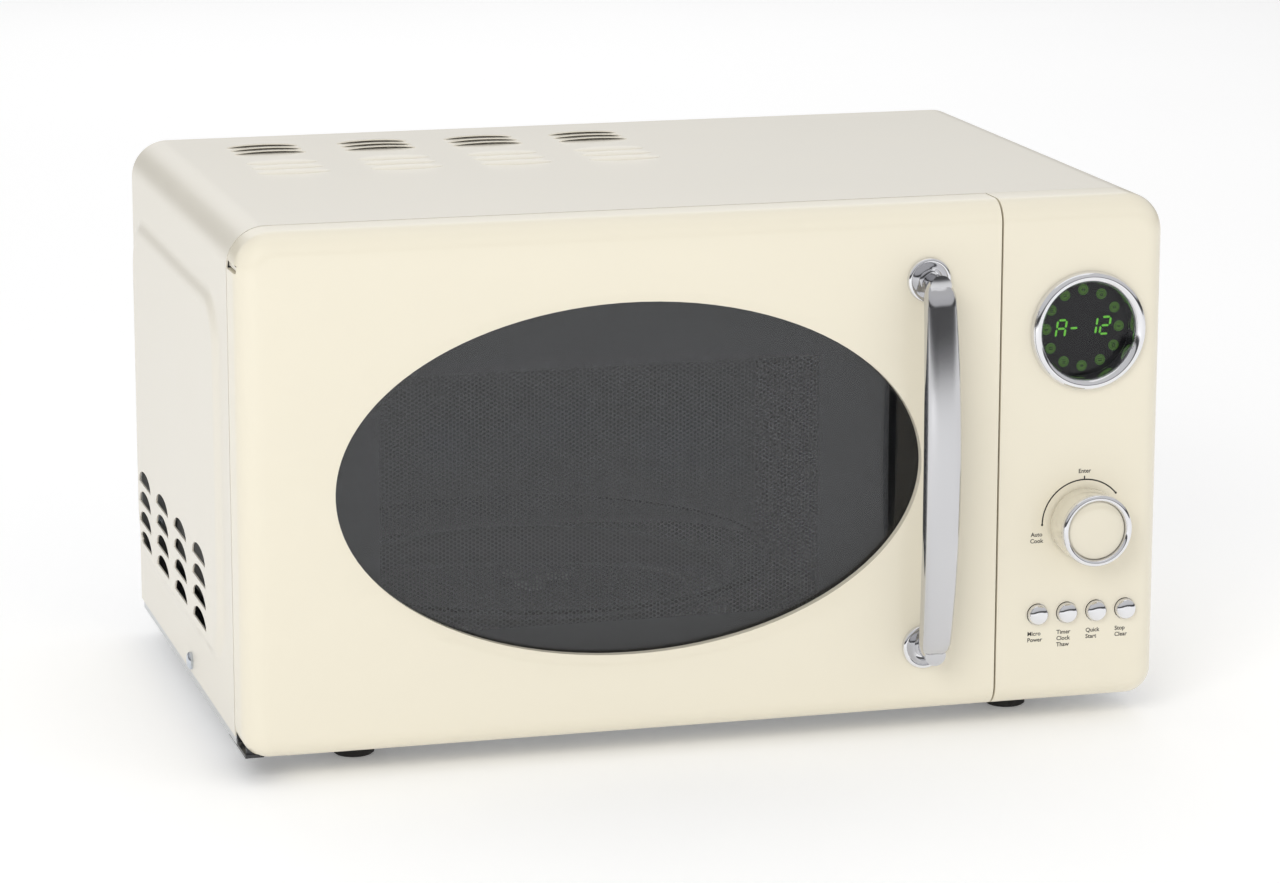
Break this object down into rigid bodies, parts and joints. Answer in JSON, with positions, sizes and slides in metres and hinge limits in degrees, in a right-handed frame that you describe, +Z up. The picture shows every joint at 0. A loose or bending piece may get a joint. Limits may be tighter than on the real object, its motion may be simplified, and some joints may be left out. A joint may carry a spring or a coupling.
{
  "type": "microwave oven",
  "caption": "Countertop microwave oven in a rounded retro casing: oval door window, bowed chrome handle, round display, push-and-turn knob, push buttons and a rolling glass turntable.",
  "frame": {"origin": "on the surface that the feet stand on, under the middle of the whole box, handle included", "axes": "+Z up, -Y to the front where the door is, +X to the right of someone facing the front"},
  "size_m": [0.4572, 0.325, 0.2604],
  "materials": {
    "cream_paint": "satin cream powder coat",
    "cream_plastic": "glossy cream moulding",
    "knob_cream": "glossy cream moulding",
    "chrome": "mirror bright plating",
    "door_glass": "smoked gloss",
    "clear_film": "clear gloss",
    "tray_glass": "clear gloss",
    "screen_black": "dark satin enamel",
    "choke_steel": "black satin enamel",
    "black_plastic": "fine grain black",
    "display_dark": "dark gloss lens",
    "display_block": "matt dark",
    "cavity_enamel": "light grey enamel",
    "zinc_steel": "zinc plated",
    "screw_steel": "bright zinc",
    "aluminium": "bright",
    "core_steel": "varnished laminations",
    "copper": "enamelled copper wire",
    "board_green": "green solder mask",
    "diode_black": "matt",
    "mica": "pale mica",
    "white_plastic": "natural",
    "foot_rubber": "matt"
  },
  "bodies": {
    "root": {"outer_wrapper": "cream_paint", "wrapper_screws": "screw_steel", "base_plate": "zinc_steel", "feet": "foot_rubber", "rear_panel": "zinc_steel", "cord_gland": "black_plastic", "front_plate": "choke_steel", "cavity_shell": "cavity_enamel", "waveguide": "zinc_steel", "waveguide_cover": "mica", "magnetron_body": "zinc_steel", "magnetron_fins": "aluminium", "transformer_core": "core_steel", "transformer_windings": "copper", "capacitor": "aluminium", "rectifier_diode": "diode_black", "filter_board": "board_green", "fan_shroud": "zinc_steel", "fan_motor": "core_steel", "cavity_lamp": "black_plastic", "thermal_cutouts": "zinc_steel", "turntable_motor": "core_steel", "upper_hinge": "cream_paint", "lower_hinge": "choke_steel", "interlock_bracket": "black_plastic", "interlock_switches": "black_plastic", "control_panel": "cream_plastic", "control_board": "board_green", "display_bezel": "chrome", "display_lens": "display_dark", "display_module": "display_block", "encoder_body": "display_block", "button_switches": "display_block"},
    "fan": {"fan_blade": "white_plastic"},
    "turntable": {"turntable_coupler": "white_plastic", "glass_tray": "tray_glass"},
    "roller_ring": {"roller_ring": "white_plastic"},
    "wheel_1": {"roller_wheel_1": "white_plastic"},
    "wheel_2": {"roller_wheel_2": "white_plastic"},
    "wheel_3": {"roller_wheel_3": "white_plastic"},
    "door": {"door_frame": "cream_plastic", "door_window": "door_glass", "door_choke_frame": "choke_steel", "door_screen": "screen_black", "door_inner_sheet": "clear_film", "door_choke_cover": "black_plastic", "handle_bar": "chrome", "handle_rosettes": "chrome", "handle_screws": "screw_steel", "latch_spring": "screw_steel"},
    "latch": {"latch_hooks": "black_plastic"},
    "knob_plunger": {"encoder_plunger": "display_block"},
    "knob": {"knob_shaft": "screw_steel", "knob_body": "knob_cream", "knob_ring": "chrome", "knob_cap": "knob_cream"},
    "button_1": {"button_1": "chrome"},
    "button_2": {"button_2": "chrome"},
    "button_3": {"button_3": "chrome"},
    "button_4": {"button_4": "chrome"}
  },
  "joints": [
    {"name": "door_hinge", "type": "hinge", "parent": "root", "child": "door", "pos_m": [-0.221, -0.1215, 0.136], "axis": [0, 0, -1], "range_deg": [0, 105]},
    {"name": "latch_slide", "type": "slide", "parent": "door", "child": "latch", "axis": [0, 0, 1], "range_m": [0, 0.004], "stiffness_N_per_m": 250, "springref_m": -0.003, "deforming": ["latch_spring"]},
    {"name": "knob_push", "type": "slide", "parent": "root", "child": "knob_plunger", "axis": [0, 1, 0], "range_m": [0, 0.0008], "stiffness_N_per_m": 2500, "springref_m": -0.0006},
    {"name": "knob_turn", "type": "hinge", "parent": "knob_plunger", "child": "knob", "pos_m": [0.1864, -0.13, 0.1015], "axis": [0, -1, 0], "continuous": true},
    {"name": "turntable_spin", "type": "hinge", "parent": "root", "child": "turntable", "pos_m": [-0.05, 0.0228, 0.045], "axis": [0, 0, 1], "continuous": true},
    {"name": "roller_ring_spin", "type": "hinge", "parent": "root", "child": "roller_ring", "pos_m": [-0.05, 0.0228, 0.0435], "axis": [0, 0, 1], "continuous": true},
    {"name": "fan_spin", "type": "hinge", "parent": "root", "child": "fan", "pos_m": [0.17, 0.13, 0.158], "axis": [0, 1, 0], "continuous": true},
    {"name": "roller_wheel_1_spin", "type": "hinge", "parent": "roller_ring", "child": "wheel_1", "pos_m": [-0.05, 0.1188, 0.04355], "axis": [0, 1, 0], "continuous": true},
    {"name": "roller_wheel_2_spin", "type": "hinge", "parent": "roller_ring", "child": "wheel_2", "pos_m": [-0.13314, -0.0252, 0.04355], "axis": [-0.866, -0.5, 0], "continuous": true},
    {"name": "roller_wheel_3_spin", "type": "hinge", "parent": "roller_ring", "child": "wheel_3", "pos_m": [0.03314, -0.0252, 0.04355], "axis": [0.866, -0.5, 0], "continuous": true},
    {"name": "button_1_press", "type": "slide", "parent": "root", "child": "button_1", "axis": [0, 1, 0], "range_m": [0, 0.0008], "stiffness_N_per_m": 1500, "springref_m": -0.0005},
    {"name": "button_2_press", "type": "slide", "parent": "root", "child": "button_2", "axis": [0, 1, 0], "range_m": [0, 0.0008], "stiffness_N_per_m": 1500, "springref_m": -0.0005},
    {"name": "button_3_press", "type": "slide", "parent": "root", "child": "button_3", "axis": [0, 1, 0], "range_m": [0, 0.0008], "stiffness_N_per_m": 1500, "springref_m": -0.0005},
    {"name": "button_4_press", "type": "slide", "parent": "root", "child": "button_4", "axis": [0, 1, 0], "range_m": [0, 0.0008], "stiffness_N_per_m": 1500, "springref_m": -0.0005}
  ],
  "couplings": [
    {"joint": "roller_ring_spin", "follows": "turntable_spin", "ratio": 0.5},
    {"joint": "roller_wheel_1_spin", "follows": "turntable_spin", "ratio": -6.4},
    {"joint": "roller_wheel_2_spin", "follows": "turntable_spin", "ratio": -6.4},
    {"joint": "roller_wheel_3_spin", "follows": "turntable_spin", "ratio": -6.4}
  ]
}
